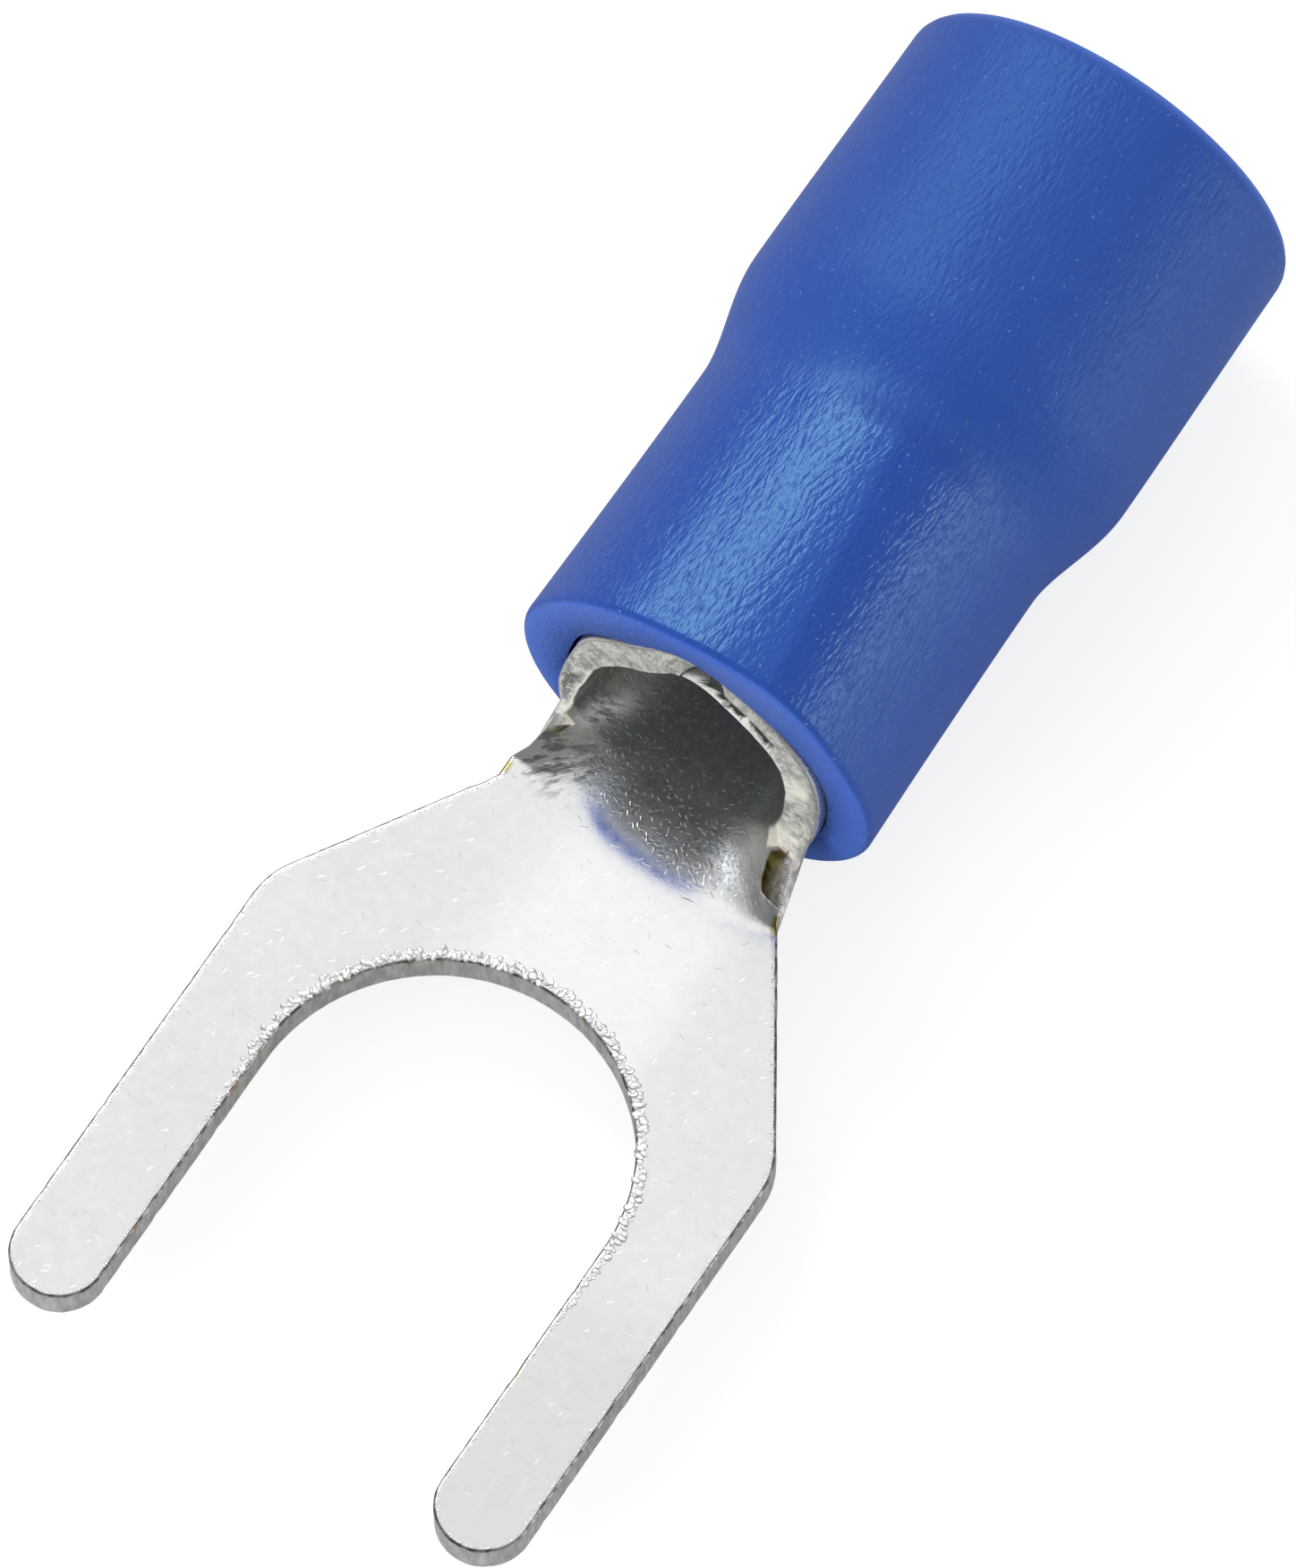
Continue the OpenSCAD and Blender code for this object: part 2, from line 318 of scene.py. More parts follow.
def fold(x, y, height):
    """Takes a point of the flat blank, at a height above its underside, to its place on the terminal."""
    pressed = 1 - rise(y, mouth_y, mouth_blend)
    angle = x * degrees_per_mm
    depth = height / sheet_t
    slant_right = -seam_shift - seam_slant_right * depth + seam_lip * rise(depth, seam_lip_depth, 0.1)
    slant = np.where(x < 0, seam_slant_left * depth, slant_right)
    angle = angle + slant * pressed * rise(np.abs(angle), seam_open_angle, 25)
    groove = groove_depth * rise(angle, groove_angle, 16)
    groove = groove * rise(height, groove_low, 0.02) * fall(height, groove_high, 0.04)
    rolled = shell_point(angle, y, pressed, height)
    rolled[..., 1] += groove * (y < mouth_y + groove_reach)
    flat = np.stack([x, y, height], -1)
    late = np.where(x < 0, dish_late_left, dish_late_right)
    sideways = np.clip(np.abs(x - dish_x) / dish_half, 0, 1) ** dish_power
    start_y = bend_y + depth * (late * sideways - dish_early * (1 - sideways))
    ease = curl_ease_middle * (1 - sideways) + curl_ease_side * sideways
    curl = (np.clip((y - start_y) / (mouth_y - start_y), 0, 1) ** ease)[..., None]
    return flat * (1 - curl) + rolled * curl


def arc(cx, cy, r, start, end, step):
    steps = max(2, round(abs(math.radians(end - start)) * r / step))
    angles = np.radians(np.linspace(start, end, steps + 1))
    return np.stack([cx + r * np.cos(angles), cy + r * np.sin(angles)], 1)


def line(start, end, step):
    steps = max(1, round(math.dist(start, end) / step))
    return np.linspace(start, end, steps + 1)


# The blank has two outlines, because its upper half was torn back beside the neck and its lower half was
# not. Each goes on both sides from the slot round the tine, shoulder and neck to the seam and wire end.
fine_step = 0.055
coarse_step = 0.13
seam_half_angle = math.degrees(math.asin(seam_gap / 2 / barrel_r))
slope = (half_w - neck_half) / (neck_y - shoulder_y)
slope_angle = math.degrees(math.atan(slope))
shoulder_mid_y = shoulder_y - shoulder_r * math.tan(math.radians(slope_angle / 2))
notch_half = (ledge_angle - notch_angle) / degrees_per_mm
notch_y = mouth_y - ledge_len
corner_flare = 0.075
flare_len = 0.2
neck_len = 0.4
neck_points = 60
tear_low_y = 5.26
tear_high_y = 5.80
tear_right = (
    (neck_half, tear_low_y),
    (1.80, 5.35),
    (1.75, 5.50),
    (1.78, 5.70),
    (1.85, tear_high_y),
    (neck_half, tear_high_y),
)
tear_left = ((neck_half, 5.45), (neck_half, 5.68), (1.93, 5.76), (notch_half, notch_y), (neck_half, notch_y))
tear_floor = 0.28
tear_step = 0.07


def evenly(corners, number):
    """A number of points spaced evenly along the straight runs between corners."""
    corners = np.array(corners)
    along = np.concatenate([[0], np.cumsum(np.hypot(*np.diff(corners, axis=0).T))])
    at = np.linspace(0, along[-1], number)
    return np.stack([np.interp(at, along, corners[:, 0]), np.interp(at, along, corners[:, 1])], 1)


def half_outline(side, torn):
    """One side's half of the outline, of the torn upper half of the sheet or of its lower half."""
    seam_x = (180 - seam_half_angle - side * seam_turn) / degrees_per_mm
    shoulder = arc(half_w - shoulder_r, shoulder_mid_y, shoulder_r, 0, slope_angle, fine_step)
    flare = corner_flare if side < 0 else 0.0
    neck = [(neck_half + flare, neck_y - flare / slope), (neck_half + flare, neck_y + flare_len)]
    if torn:
        neck += tear_left if side < 0 else tear_right
    else:
        neck += [(neck_half, neck_y + neck_len)]
    neck += [(neck_half, mouth_y)]
    runs = [
        arc(0, 0, slot_r, 90, 0, fine_step),
        line((slot_r, 0), (slot_r, tip_y), fine_step),
        arc(half_w - tip_r, tip_y, tip_r, -180, 0, fine_step),
        line((half_w, tip_y), (half_w, shoulder_mid_y), fine_step),
        shoulder,
        line(shoulder[-1], neck[0], fine_step),
        evenly(neck, neck_points),
        line((neck_half, mouth_y), (seam_x, mouth_y), fine_step),
        line((seam_x, mouth_y), (seam_x, barrel_end_y), coarse_step),
        line((seam_x, barrel_end_y), (0, barrel_end_y), coarse_step),
    ]
    joined = [runs[0][0]]
    for run in runs:
        joined.extend(run[1:])
    return np.array(joined) * (side, 1)


def whole_outline(torn):
    return np.concatenate([half_outline(1, torn), half_outline(-1, torn)[1:-1][::-1]])


def point_noise(points, scale, seed):
    """Smooth noise from -1 to 1 at each point, in features of 1/scale millimetres."""
    return np.array([noise.noise(Vector((x * scale, y * scale, seed))) for x, y in points])


# Ragged shear: the outline steps in by a few hundredths of a millimetre, with deeper nicks here and there.
# Next to a sharp corner the rounded rim steps in less, because it would cross itself there.
ragged_end_y = mouth_y + 0.01
raggedness = 0.008
nick_depth = 0.03
nick_least = 0.25
rim_least = 0.15
rim_shrink = 0.8
rim_tries = 16


def cut_edge(outline):
    """The ragged outline, the way into the sheet at each point, and the stretch of a mitred corner."""
    ahead = np.roll(outline, -1, 0) - outline
    ahead /= np.linalg.norm(ahead, axis=1)[:, None]
    behind = np.roll(ahead, 1, 0)
    inward = np.stack([-(ahead + behind)[:, 1], (ahead + behind)[:, 0]], 1)
    inward /= np.linalg.norm(inward, axis=1)[:, None]
    miter = 1 / np.maximum(0.5, np.sum(inward * np.stack([-ahead[:, 1], ahead[:, 0]], 1), 1))
    nicks = nick_depth * np.clip(point_noise(outline, scale=4.5, seed=9.7) - nick_least, 0, 1)
    rough = raggedness * (1 + point_noise(outline, scale=7, seed=3.1)) / 2 + nicks
    rough = np.where(outline[:, 1] > ragged_end_y, 0, rough)
    edge = outline + inward * rough[:, None]
    along = np.roll(edge, -1, 0) - edge
    for _ in range(rim_tries):
        inset = edge + inward * (miter * edge_r)[:, None]
        onward = np.sum((np.roll(inset, -1, 0) - inset) * along, 1) > rim_least * np.sum(along * along, 1)
        miter[~(onward & np.roll(onward, 1))] *= rim_shrink
    return edge, inward, miter[:, None]


outline = whole_outline(True)
low_outline = whole_outline(False)
count = len(outline)
edge_line, inward, miter = cut_edge(outline)
low_line, low_inward, low_miter = cut_edge(low_outline)


def offset(distance, height=sheet_t):
    """The outline at a height in the sheet, moved into it by a distance for each point or for all."""
    upper = edge_line + inward * miter * np.reshape(distance, (-1, 1))
    lower = low_line + low_inward * low_miter * np.reshape(distance, (-1, 1))
    torn = float(rise(height, tear_floor, tear_step))
    return upper * torn + lower * (1 - torn)


# Points inside the blank: two rings that follow the edge, a fine lattice over the neck and mouth where the
# sheet bends both ways, and a coarse one elsewhere.
fine_low = (-2.5, 4.3)
fine_high = (2.5, 7.4)
fine_pitch = 0.075
coarse_pitch = 0.17
least_clearance = 0.05
second_ring = 0.11
rim = offset(edge_r)


def inside(points, loop):
    """True for each point inside the closed loop."""
    x, y = points[:, 0, None], points[:, 1, None]
    x0, y0 = loop[:, 0], loop[:, 1]
    x1, y1 = np.roll(x0, -1), np.roll(y0, -1)
    straddles = (y0 > y) != (y1 > y)
    cross_x = x0 + (y - y0) * (x1 - x0) / np.where(y1 == y0, 1e-9, y1 - y0)
    return (straddles & (x < cross_x)).sum(1) % 2 == 1


def clearance(points, loop):
    """Distance from each point to the nearest point of the loop."""
    return np.array([np.min(np.hypot(*(loop - p).T)) for p in points])


def lattice(low, high, step):
    xs = np.arange(low[0], high[0], step)
    ys = np.arange(low[1], high[1], step)
    return np.stack(np.meshgrid(xs, ys), -1).reshape(-1, 2)


dense = lattice(fine_low, fine_high, fine_pitch)
coarse = lattice(outline.min(0), outline.max(0), coarse_pitch)
apart = (coarse < np.subtract(fine_low, least_clearance)) | (coarse > np.add(fine_high, least_clearance))
spread = np.concatenate([offset(second_ring)[::2], dense, coarse[apart.any(1)]])
spread = spread[inside(spread, rim)]
spread = spread[clearance(spread, rim) > least_clearance]
rim_face = [list(range(count))]
flat_points = [Vector(p) for p in np.concatenate([rim, spread])]
meshed_points, _, meshed_faces, sources, *_ = geometry.delaunay_2d_cdt(flat_points, [], rim_face, 1, 1e-6)
blank_xy = np.array([tuple(v) for v in meshed_points])
blank_faces = [tuple(f) for f in meshed_faces]
place_of = {source: made for made, found in enumerate(sources) for source in found}
rim_index = [place_of[i] for i in range(count)]

# Depths and heights of the rows that run round the cut edge, from the top face's rim to the underside's.
arc_steps = 4
wall_rows = 6
shear_depth = 0.012
edge_turn = np.radians(np.linspace(0, 90, arc_steps + 1))
round_depth = edge_r * (1 - np.sin(edge_turn))
round_height = edge_r * (1 - np.cos(edge_turn))
row_depth = np.concatenate([round_depth[1:], np.zeros(wall_rows - 1), round_depth[1:][::-1]])
row_height = np.concatenate([
    sheet_t - round_height[1:],
    np.linspace(sheet_t - edge_r, edge_r, wall_rows + 1)[1:-1],
    round_height[1:][::-1],
])
under_xy = blank_xy.copy()
under_xy[rim_index] = offset(edge_r, 0.0)
layers = [(blank_xy, sheet_t), (under_xy, 0.0)]
for depth, height in zip(row_depth, row_height):
    shear = shear_depth * (1 + point_noise(outline, scale=9, seed=20.0 + height)) / 2 * (depth == 0)
    layers.append((offset(depth + shear, height), height))
pattern = np.concatenate([xy for xy, height in layers])
heights = np.concatenate([np.full(len(xy), height) for xy, height in layers])
points = fold(pattern[:, 0], pattern[:, 1], heights)

face_points = len(blank_xy)
first_cut = 2 * face_points
faces = blank_faces + [tuple(face_points + i for i in face[::-1]) for face in blank_faces]
rows = [rim_index] + [[first_cut + row * count + k for k in range(count)] for row in range(len(row_depth))]
rows.append([face_points + i for i in rim_index])
sheared = [0] * len(faces)
for number, (upper, lower) in enumerate(zip(rows, rows[1:])):
    for k in range(count):
        after = (k + 1) % count
        faces.append((upper[k], lower[k], lower[after], upper[after]))
        sheared.append(1 if arc_steps - 1 <= number <= arc_steps + wall_rows - 1 else 0)

terminal = mesh_object("fork_terminal_sheet", points * MM, faces)
terminal.data.polygons.foreach_set("material_index", sheared)


def set_floats(made, name, values):
    made.data.attributes.new(name, "FLOAT", "POINT").data.foreach_set("value", np.asarray(values, "f"))


def set_vectors(made, name, values):
    layer = made.data.attributes.new(name, "FLOAT_VECTOR", "POINT")
    layer.data.foreach_set("vector", np.asarray(values, "f").ravel())


def beside_slot(x, y, margin):
    """True on the slot's wall and within a margin of it."""
    return (np.hypot(x, np.maximum(y, 0)) < slot_r + margin) & (y > tip_y)


# The finish changes over the blank, so the mesh keeps masks for the materials. First the plating: brass
# shows on the torn edge beside the neck, at the neck's corners and in flecks along the upper edge of the
# slot's wall, and cream flakes of tin stand on the broken ledges. A painted highlight runs along the mouth's
# inner edge, in cream on the tin and in pale colour on the cut face.
torn_least = 0.03
brass_top = 0.535
corner_spots = ((neck_half, 5.06), (-neck_half - corner_flare, 5.08))
corner_spot_floor = 0.2
spot_long = 0.12
spot_narrow = 0.6
fleck_floor = 0.40
fleck_least = 0.18
flake_y_left = notch_y - 0.02
flake_y_right = 5.83
flake_x = 1.74
flake_floor = 0.10
lip_floor = 0.50
lip_left_low = -106
lip_left_high = -62
lip_glint_bright_angle = 140

blank_x, blank_y = pattern.T
blank_angle = blank_x * degrees_per_mm
side_x = np.abs(blank_x)
on_edge = (np.arange(len(points)) >= first_cut).astype(float)
torn_by = np.zeros(len(points))
torn_by[first_cut:] = np.tile(np.linalg.norm(low_outline - outline, axis=1), len(row_depth))
bare = rise(torn_by, torn_least, 0.05) * rise(heights, tear_floor, 0.03) * fall(heights, brass_top, 0.02)
flake_y = np.where(blank_x < 0, flake_y_left, flake_y_right)
chipped_and_glint = rise(blank_y, flake_y, 0.02) * fall(blank_y, mouth_y - 0.01, 0.02)
chipped_and_glint *= rise(heights, flake_floor, 0.05)
chipped_and_glint *= np.maximum(on_edge, (blank_x > flake_x) * rise(heights, lip_floor, 0.02))
bare *= 1 - chipped_and_glint
# Painted highlight along the mouth's inner edge, where its rounded lip would catch the light.
left_lip_glint = fall(blank_angle, lip_left_high, 4) * rise(blank_angle, lip_left_low, 8)
lip_glint = 0.5 * rise(blank_angle, groove_angle, 10) + 0.5 * rise(blank_angle, lip_glint_bright_angle, 12)
lip_glint = np.maximum(lip_glint, left_lip_glint) * on_edge * (heights > lip_floor)
lip_glint *= (blank_y > mouth_y - 0.05) * (blank_y < mouth_y + 0.03)
chipped_and_glint = np.maximum(chipped_and_glint, 0.8 * lip_glint)
for spot_x, spot_y in corner_spots:
    away = np.hypot((blank_x - spot_x) / spot_narrow, blank_y - spot_y) / spot_long
    bare = np.maximum(bare, fall(away, 1.2, 0.3) * rise(heights, corner_spot_floor, 0.05))
fleck = rise(heights, fleck_floor, 0.06) * rise(point_noise(pattern, scale=5, seed=7.0), fleck_least, 0.12)
bare = np.maximum(bare, 0.7 * fleck * on_edge * beside_slot(blank_x, blank_y, 0.05))
set_floats(terminal, "chipped_and_glint", chipped_and_glint)
set_floats(terminal, "bare", bare)

# Then the sheet's wear and painted light: coarse where it was bent, creased beside the notches with painted
# shade in the creases, painted highlights in two places in the dish, painted shade along its upper edge, and
# painted shade toward its sides.
formed_y = 4.86
formed_late = 0.30
formed_bow = 0.10
formed_x = 1.0
crease_y = 5.5
crease_half = 0.75
crease_x = 0.9
crease_end_x = 2.4
edge_shade_end_y = 5.0
glint_right = (1.40, 5.60)
glint_right_r = 0.35
glint_left = (-1.6414, 6.36)
glint_left_slope = 0.46
glint_left_half = 0.20
glint_left_len = 0.40
dish_middle_y = 7.2
sweep_around = 24
sweep_along = 3

formed_from = formed_y + np.minimum(formed_late, formed_bow * (blank_x - formed_x) ** 2)
set_floats(terminal, "formed", rise(blank_y, formed_from, 0.4))
creased = hump(blank_y, crease_y, crease_half) * rise(side_x, crease_x, 0.6) * (side_x < crease_end_x)
set_floats(terminal, "creased", creased * np.where(blank_x < 0, 1.2, 0.6))
# Painted shade darkens the rounded upper edge of the tongue, broken into dashes.
set_floats(terminal, "edge_shade", on_edge * (heights > sheet_t - edge_r - tolerance) * (blank_y < edge_shade_end_y))
glint_y = blank_y - glint_left[1]
glint_x = blank_x - glint_left[0] - glint_left_slope * glint_y
painted_glint = 1.4 * np.exp(-(glint_x / glint_left_half) ** 2 - (glint_y / glint_left_len) ** 2)
glint_x, glint_y = blank_x - glint_right[0], blank_y - glint_right[1]
painted_glint += np.exp(-(glint_x / glint_right_r) ** 2 - (glint_y / glint_right_r) ** 2)
set_floats(terminal, "painted_glint", painted_glint)
around_dish = sweep_around * np.arctan2(blank_x, dish_middle_y - blank_y)
from_dish = sweep_along * np.hypot(blank_x, dish_middle_y - blank_y)
set_vectors(terminal, "swept", np.column_stack([around_dish, from_dish, heights]))
# Painted shade: the sheet is darker toward its left and toward the right tine, on its top and its sheared
# wall.
shade_left = 0.67 * rise(-blank_x, 0.3, 1.6)
shade_right = 0.62 * rise(blank_x, 1.2, 1.0) + 0.38 * fall(blank_y, 0.2, 1.8) * (blank_x > 0)
set_floats(terminal, "shade", np.maximum(shade_left, shade_right))
set_vectors(terminal, "blank", np.column_stack([pattern, heights]))

# Last the cut face of the mouth: painted light in cream on its right, pitted on its left, a painted
# highlight along its inner edge, and split by a gap painted dark as its shade, which widens toward the seam.
# The step under the torn edge looks the same.
under_step_y = 5.15
under_step_x = 1.5
under_step_top = 0.25
lit_cream_angle = 100
pit_angle = -84
pit_height = 0.24
glint_angle = 104
glint_bright_angle = 142
gap_angle = 110
gap_open_angle = 164

face = rise(blank_y, mouth_y - 0.03, 0.02) * (blank_y < mouth_y + 0.03)
under_step = rise(blank_y, under_step_y, 0.1) * (side_x > under_step_x)
under_step *= 1 - rise(heights, under_step_top, 0.03)
set_floats(terminal, "mouth_face", np.maximum(np.maximum(face, 0.9 * under_step), chipped_and_glint))
# Painted light, cream-tinted, on the right of the cut face.
lit_cream_and_chips = hump(blank_angle, lit_cream_angle, 17) * rise(heights, flake_floor, 0.08)
pitted = hump(blank_angle, pit_angle, 26) * hump(heights, pit_height, 0.28)
set_floats(terminal, "face_tint", np.where(chipped_and_glint > 0.05, chipped_and_glint, lit_cream_and_chips - pitted))
inner_edge_glint = 0.6 * rise(blank_angle, glint_angle, 8) + 0.4 * rise(blank_angle, glint_bright_angle, 10)
set_floats(terminal, "inner_edge_glint", np.maximum(left_lip_glint, inner_edge_glint))
# Below the gap's floor the cut face is painted dark as the gap's shade.
gap_floor = 1.0 - 0.59 * rise(blank_angle, gap_angle, 20) - 0.40 * rise(blank_angle, gap_open_angle, 6)
set_floats(terminal, "gap_floor", gap_floor)


def vector_maths(add, operation, first, second):
    """Adds a Vector Math node and returns its vector."""
    return add("ShaderNodeVectorMath", {0: first, 1: second}, operation=operation).outputs[0]


def times(add, *factors):
    """The product of two or more values."""
    product = factors[0]
    for factor in factors[1:]:
        product = maths(add, "MULTIPLY", product, factor)
    return product


def total(add, base, *parts):
    """A base value with each part's pattern added to it by the part's amount."""
    for pattern, amount in parts:
        base = add("ShaderNodeMath", {0: pattern, 1: amount, 2: base}, operation="MULTIPLY_ADD").outputs[0]
    return base


def clamped(add, value):
    """The value kept between 0 and 1."""
    return add("ShaderNodeClamp", {0: value}).outputs[0]


def layered(add, colour, *layers):
    """Lays colours over a base one, each by its share."""
    for share, tint in layers:
        colour = blend(add, share, colour, tint)
    return colour


def clouds(add, place, scale, detail, roughness=0.5):
    """Noise in features of 1/scale millimetres."""
    inputs = {"Vector": place, "Scale": scale, "Detail": detail, "Roughness": roughness}
    return add("ShaderNodeTexNoise", inputs).outputs[0]


def stored(add, name, part="Fac"):
    """A mask or vector that the mesh keeps."""
    return add("ShaderNodeAttribute", attribute_name=name).outputs[part]


def end_material(add, colour, metallic, roughness, height, constants=None):
    """Gives a material its relief, in millimetres, its shader and its output."""
    bump = add("ShaderNodeBump", {"Height": height, "Distance": MM, "Strength": 1.0}).outputs[0]
    inputs = {"Base Color": colour, "Metallic": metallic, "Roughness": roughness, "Normal": bump}
    shader = add("ShaderNodeBsdfPrincipled", inputs | (constants or {}))
    add("ShaderNodeOutputMaterial", {"Surface": shader.outputs[0]})


def shader_group(name, numbers, results):
    """A new node group with a place and numbers as inputs, its add function and its inner sockets."""
    group = bpy.data.node_groups.new(name, "ShaderNodeTree")
    group.interface.new_socket("Place", in_out="INPUT", socket_type="NodeSocketVector")
    for way, labels in (("INPUT", numbers), ("OUTPUT", results)):
        for label in labels:
            group.interface.new_socket(label, in_out=way, socket_type="NodeSocketFloat")
    add = node_tree(group)
    return group, add, add("NodeGroupInput").outputs, add("NodeGroupOutput").inputs


def place_group(add, group, **inputs):
    """Adds a node group to a material and returns its outputs."""
    return add("ShaderNodeGroup", node_tree=group, inputs=inputs).outputs


# Lines is a pattern of fine parallel lines, turned about Z. Along and Across give the lines per unit.
lines_group, add, given, result = shader_group("lines", ["Turn", "Along", "Across", "Sharpness"], ["Lines"])
turned = {"Vector": given["Place"], "Angle": given["Turn"]}
turned = add("ShaderNodeVectorRotate", turned, rotation_type="Z_AXIS").outputs[0]
spacing = {0: given["Along"], 1: given["Across"], 2: given["Across"]}
spacing = add("ShaderNodeCombineXYZ", spacing).outputs[0]
waves = clouds(add, vector_maths(add, "MULTIPLY", turned, spacing), 1.0, 2.0)
swing = maths(add, "ABSOLUTE", total(add, -1.0, (waves, 2.0)))
crest = maths(add, "POWER", maths(add, "SUBTRACT", 1.0, swing), given["Sharpness"])
lines_group.links.new(crest, result["Lines"])

# Spots is a scatter of small domes: Share of the cells holds one, of the given size in cells.
spots_group, add, given, result = shader_group("spots", ["Cells", "Share", "Size"], ["Spot"])
cells = add("ShaderNodeTexVoronoi", {"Vector": given["Place"], "Scale": given["Cells"]}).outputs
draws = add("ShaderNodeSeparateColor", {0: cells["Color"]}).outputs
away = maths(add, "DIVIDE", cells["Distance"], given["Size"])
dome = remap(add, away, 1.0, 0.2, kind="SMOOTHSTEP")
spot = times(add, dome, maths(add, "LESS_THAN", draws[0], given["Share"]))
spots_group.links.new(spot, result["Spot"])

# Strokes is a scatter of short raised strokes over a flat pattern. Each cell's stroke has its own direction,
# swung about Turn, and reaches Length and Width from its middle.
strokes_group, add, given, result = shader_group(
    "strokes", ["Cells", "Share", "Turn", "Swing", "Length", "Width"], ["Stroke", "Chance"]
)
flat = vector_maths(add, "MULTIPLY", given["Place"], (1.0, 1.0, 0.0))
cells = {"Vector": flat, "Scale": given["Cells"]}
cells = add("ShaderNodeTexVoronoi", cells, voronoi_dimensions="2D").outputs
draws = add("ShaderNodeSeparateColor", {0: cells["Color"]}).outputs
swung = total(add, given["Turn"], (maths(add, "SUBTRACT", draws[2], 0.5), given["Swing"]))
turned = {"Vector": vector_maths(add, "SUBTRACT", flat, cells["Position"]), "Angle": swung}
turned = add("ShaderNodeVectorRotate", turned, rotation_type="Z_AXIS").outputs[0]
reach = add("ShaderNodeCombineXYZ", {0: given["Length"], 1: given["Width"], 2: 1.0}).outputs[0]
away = vector_maths(add, "DIVIDE", turned, reach)
away = add("ShaderNodeVectorMath", {0: away}, operation="LENGTH").outputs["Value"]
dome = remap(add, away, 1.0, 0.3, kind="SMOOTHSTEP")
stroke = times(add, dome, maths(add, "LESS_THAN", draws[0], given["Share"]))
strokes_group.links.new(stroke, result["Stroke"])
strokes_group.links.new(draws[1], result["Chance"])

# Tin plate: bright, with faint rolling lines, scuffs, nicks and dents, and coarse and grey where it bends.
brass = (0.28, 0.235, 0.065, 1)
tin_light = (0.90, 0.905, 0.90, 1)
tin_dull_and_shaded = (0.715, 0.73, 0.72, 1)
tin_line = (0.50, 0.50, 0.50, 1)
tin_bright_and_glint = (1.0, 1.0, 0.99, 1)
tin_formed = (0.62, 0.615, 0.575, 1)
tin_formed_cool = (0.56, 0.62, 0.66, 1)
tin_crease_shade = (0.27, 0.275, 0.27, 1)
tin_edge_shade = (0.15, 0.15, 0.145, 1)
chip_cream_and_glint = (1.0, 0.97, 0.84, 1)

tin, add = new_material("tin_plate")
place = stored(add, "blank", "Vector")
formed = stored(add, "formed")
creased = stored(add, "creased")
chipped_and_glint = stored(add, "chipped_and_glint")
edge_shade = stored(add, "edge_shade")
relief = clouds(add, place, 6.0, 3.0, 0.6)
mottle = clouds(add, place, 0.45, 3.0)
grain = clouds(add, place, 22.0, 2.0)
peel = clouds(add, place, 7.0, 2.0)
patch = remap(add, clouds(add, place, 1.3, 1.0), 0.50, 0.66)
crumple = clouds(add, stored(add, "swept", "Vector"), 1.0, 3.0, 0.6)
rolled = place_group(
    add, lines_group, Place=place, Turn=0.06, Along=1.6, Across=24.0, Sharpness=22.0
)["Lines"]
scuffs = place_group(
    add, strokes_group, Place=place, Cells=2.3, Share=0.42, Turn=-0.5, Swing=1.6, Length=0.085, Width=0.014
)
nicks = place_group(
    add, strokes_group, Place=place, Cells=2.9, Share=0.60, Turn=-0.6, Swing=3.0, Length=0.080, Width=0.011
)
worms = place_group(
    add, strokes_group, Place=place, Cells=10.0, Share=0.75, Turn=0.0, Swing=6.3, Length=0.055, Width=0.016
)["Stroke"]
dents = place_group(add, spots_group, Place=place, Cells=1.1, Share=0.35, Size=0.16)["Spot"]
sunk = times(add, nicks["Stroke"], maths(add, "GREATER_THAN", nicks["Chance"], 0.45))
scuff = times(add, scuffs["Stroke"], maths(add, "SUBTRACT", 1.0, formed))
# Painted highlights in the dish, broken up by the crumple.
painted_glint = times(add, stored(add, "painted_glint"), remap(add, crumple, 0.44, 0.56, 0.15))
dashes = remap(add, relief, 0.42, 0.56, 0.35)
# Painted shade: dark streaks in the creases beside the notches.
crease_shade = remap(add, crumple, 0.46, 0.56)
tone = clamped(add, total(add, 0.53, (mottle, 0.35), (relief, 0.6), (stored(add, "shade"), -1.0)))
formed_colour = blend(add, patch, tin_formed, tin_formed_cool)
formed_colour = blend(add, times(add, worms, 0.16), formed_colour, tin_bright_and_glint)
colour = layered(
    add,
    blend(add, tone, tin_dull_and_shaded, tin_light),
    (times(add, formed, 0.8), formed_colour),
    (times(add, rolled, patch, 0.16), tin_line),
    (times(add, sunk, 0.55), tin_line),
    (times(add, scuff, 0.45), tin_bright_and_glint),
    (times(add, painted_glint, 0.9), tin_bright_and_glint),
    (times(add, edge_shade, dashes), tin_edge_shade),
    (times(add, crease_shade, creased), tin_crease_shade),
    (stored(add, "bare"), brass),
    (chipped_and_glint, chip_cream_and_glint),
)
height = total(
    add,
    0.0,
    (grain, total(add, 0.0003, (formed, 0.0025))),
    (peel, times(add, formed, 0.003)),
    (worms, times(add, formed, 0.0025)),
    (crumple, times(add, creased, 0.009)),
    (scuff, 0.0007),
    (nicks["Stroke"], -0.0007),
    (dents, -0.0015),
)
rough = total(add, remap(add, peel, 0.3, 0.7, 0.11, 0.16), (formed, 0.14), (edge_shade, 0.3))
metallic = total(add, 1.0, (formed, -0.06), (chipped_and_glint, -0.5), (painted_glint, -0.38))
end_material(add, colour, metallic, rough, height)

# The sheared wall is streaked through the sheet's thickness, and the mouth's cut face is crystalline.
wall_light = (0.76, 0.755, 0.75, 1)
wall_dark = (0.44, 0.44, 0.42, 1)
face_pale_and_glint = (1.0, 0.99, 0.94, 1)
face_dark = (0.42, 0.42, 0.40, 1)
face_cream_and_light = (1.0, 0.98, 0.86, 1)
face_pit = (0.16, 0.17, 0.16, 1)
gap_painted_shade = (0.045, 0.052, 0.052, 1)
brass_dull = (0.11, 0.085, 0.026, 1)

